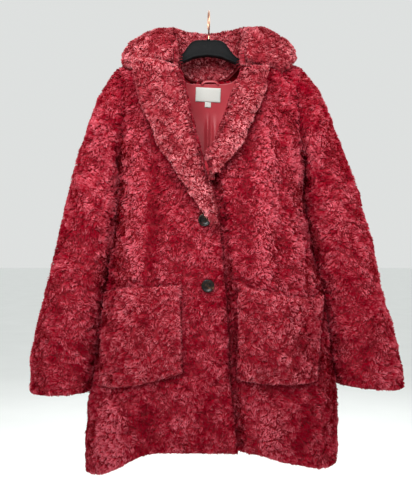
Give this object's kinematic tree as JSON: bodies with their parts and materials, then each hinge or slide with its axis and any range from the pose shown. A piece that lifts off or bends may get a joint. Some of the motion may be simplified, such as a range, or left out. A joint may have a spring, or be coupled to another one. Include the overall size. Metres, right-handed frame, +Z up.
{
  "type": "faux fur coat on a hanger",
  "caption": "Short A-line faux fur coat with a notched collar, long sleeves and patch pockets, buttoned and hanging on a moulded plastic hanger with a wire hook.",
  "frame": {"origin": "the inside top of the hook's bend, where the hook bears on what it hangs from", "axes": "+Z up along the hanging coat, -Y the coat's front, +X the viewer's right, which is the wearer's left"},
  "size_m": [0.765, 0.2392, 0.9402],
  "materials": {
    "fur": "curly faux fur pile, matt, lighter and pinker at its tips",
    "lining_satin": "smooth satin lining with a soft sheen",
    "label_tape": "bare off-white woven tape",
    "horn_plastic": "polished dark tortoiseshell plastic",
    "hanger_plastic": "moulded black plastic, satin",
    "copper_wire": "polished copper-coloured plating"
  },
  "bodies": {
    "root": {"back": "fur", "front_right": "fur", "front_left": "fur", "sleeve_right": "fur", "sleeve_left": "fur", "collar": "fur", "lapel_right": "fur", "lapel_left": "fur", "pocket_right": "fur", "pocket_left": "fur", "lining": "lining_satin", "hanging_loop": "lining_satin", "neck_label": "label_tape", "size_tab": "label_tape", "button_top": "horn_plastic", "button_lower": "horn_plastic", "hanger": "hanger_plastic", "hook": "copper_wire"}
  },
  "joints": []
}
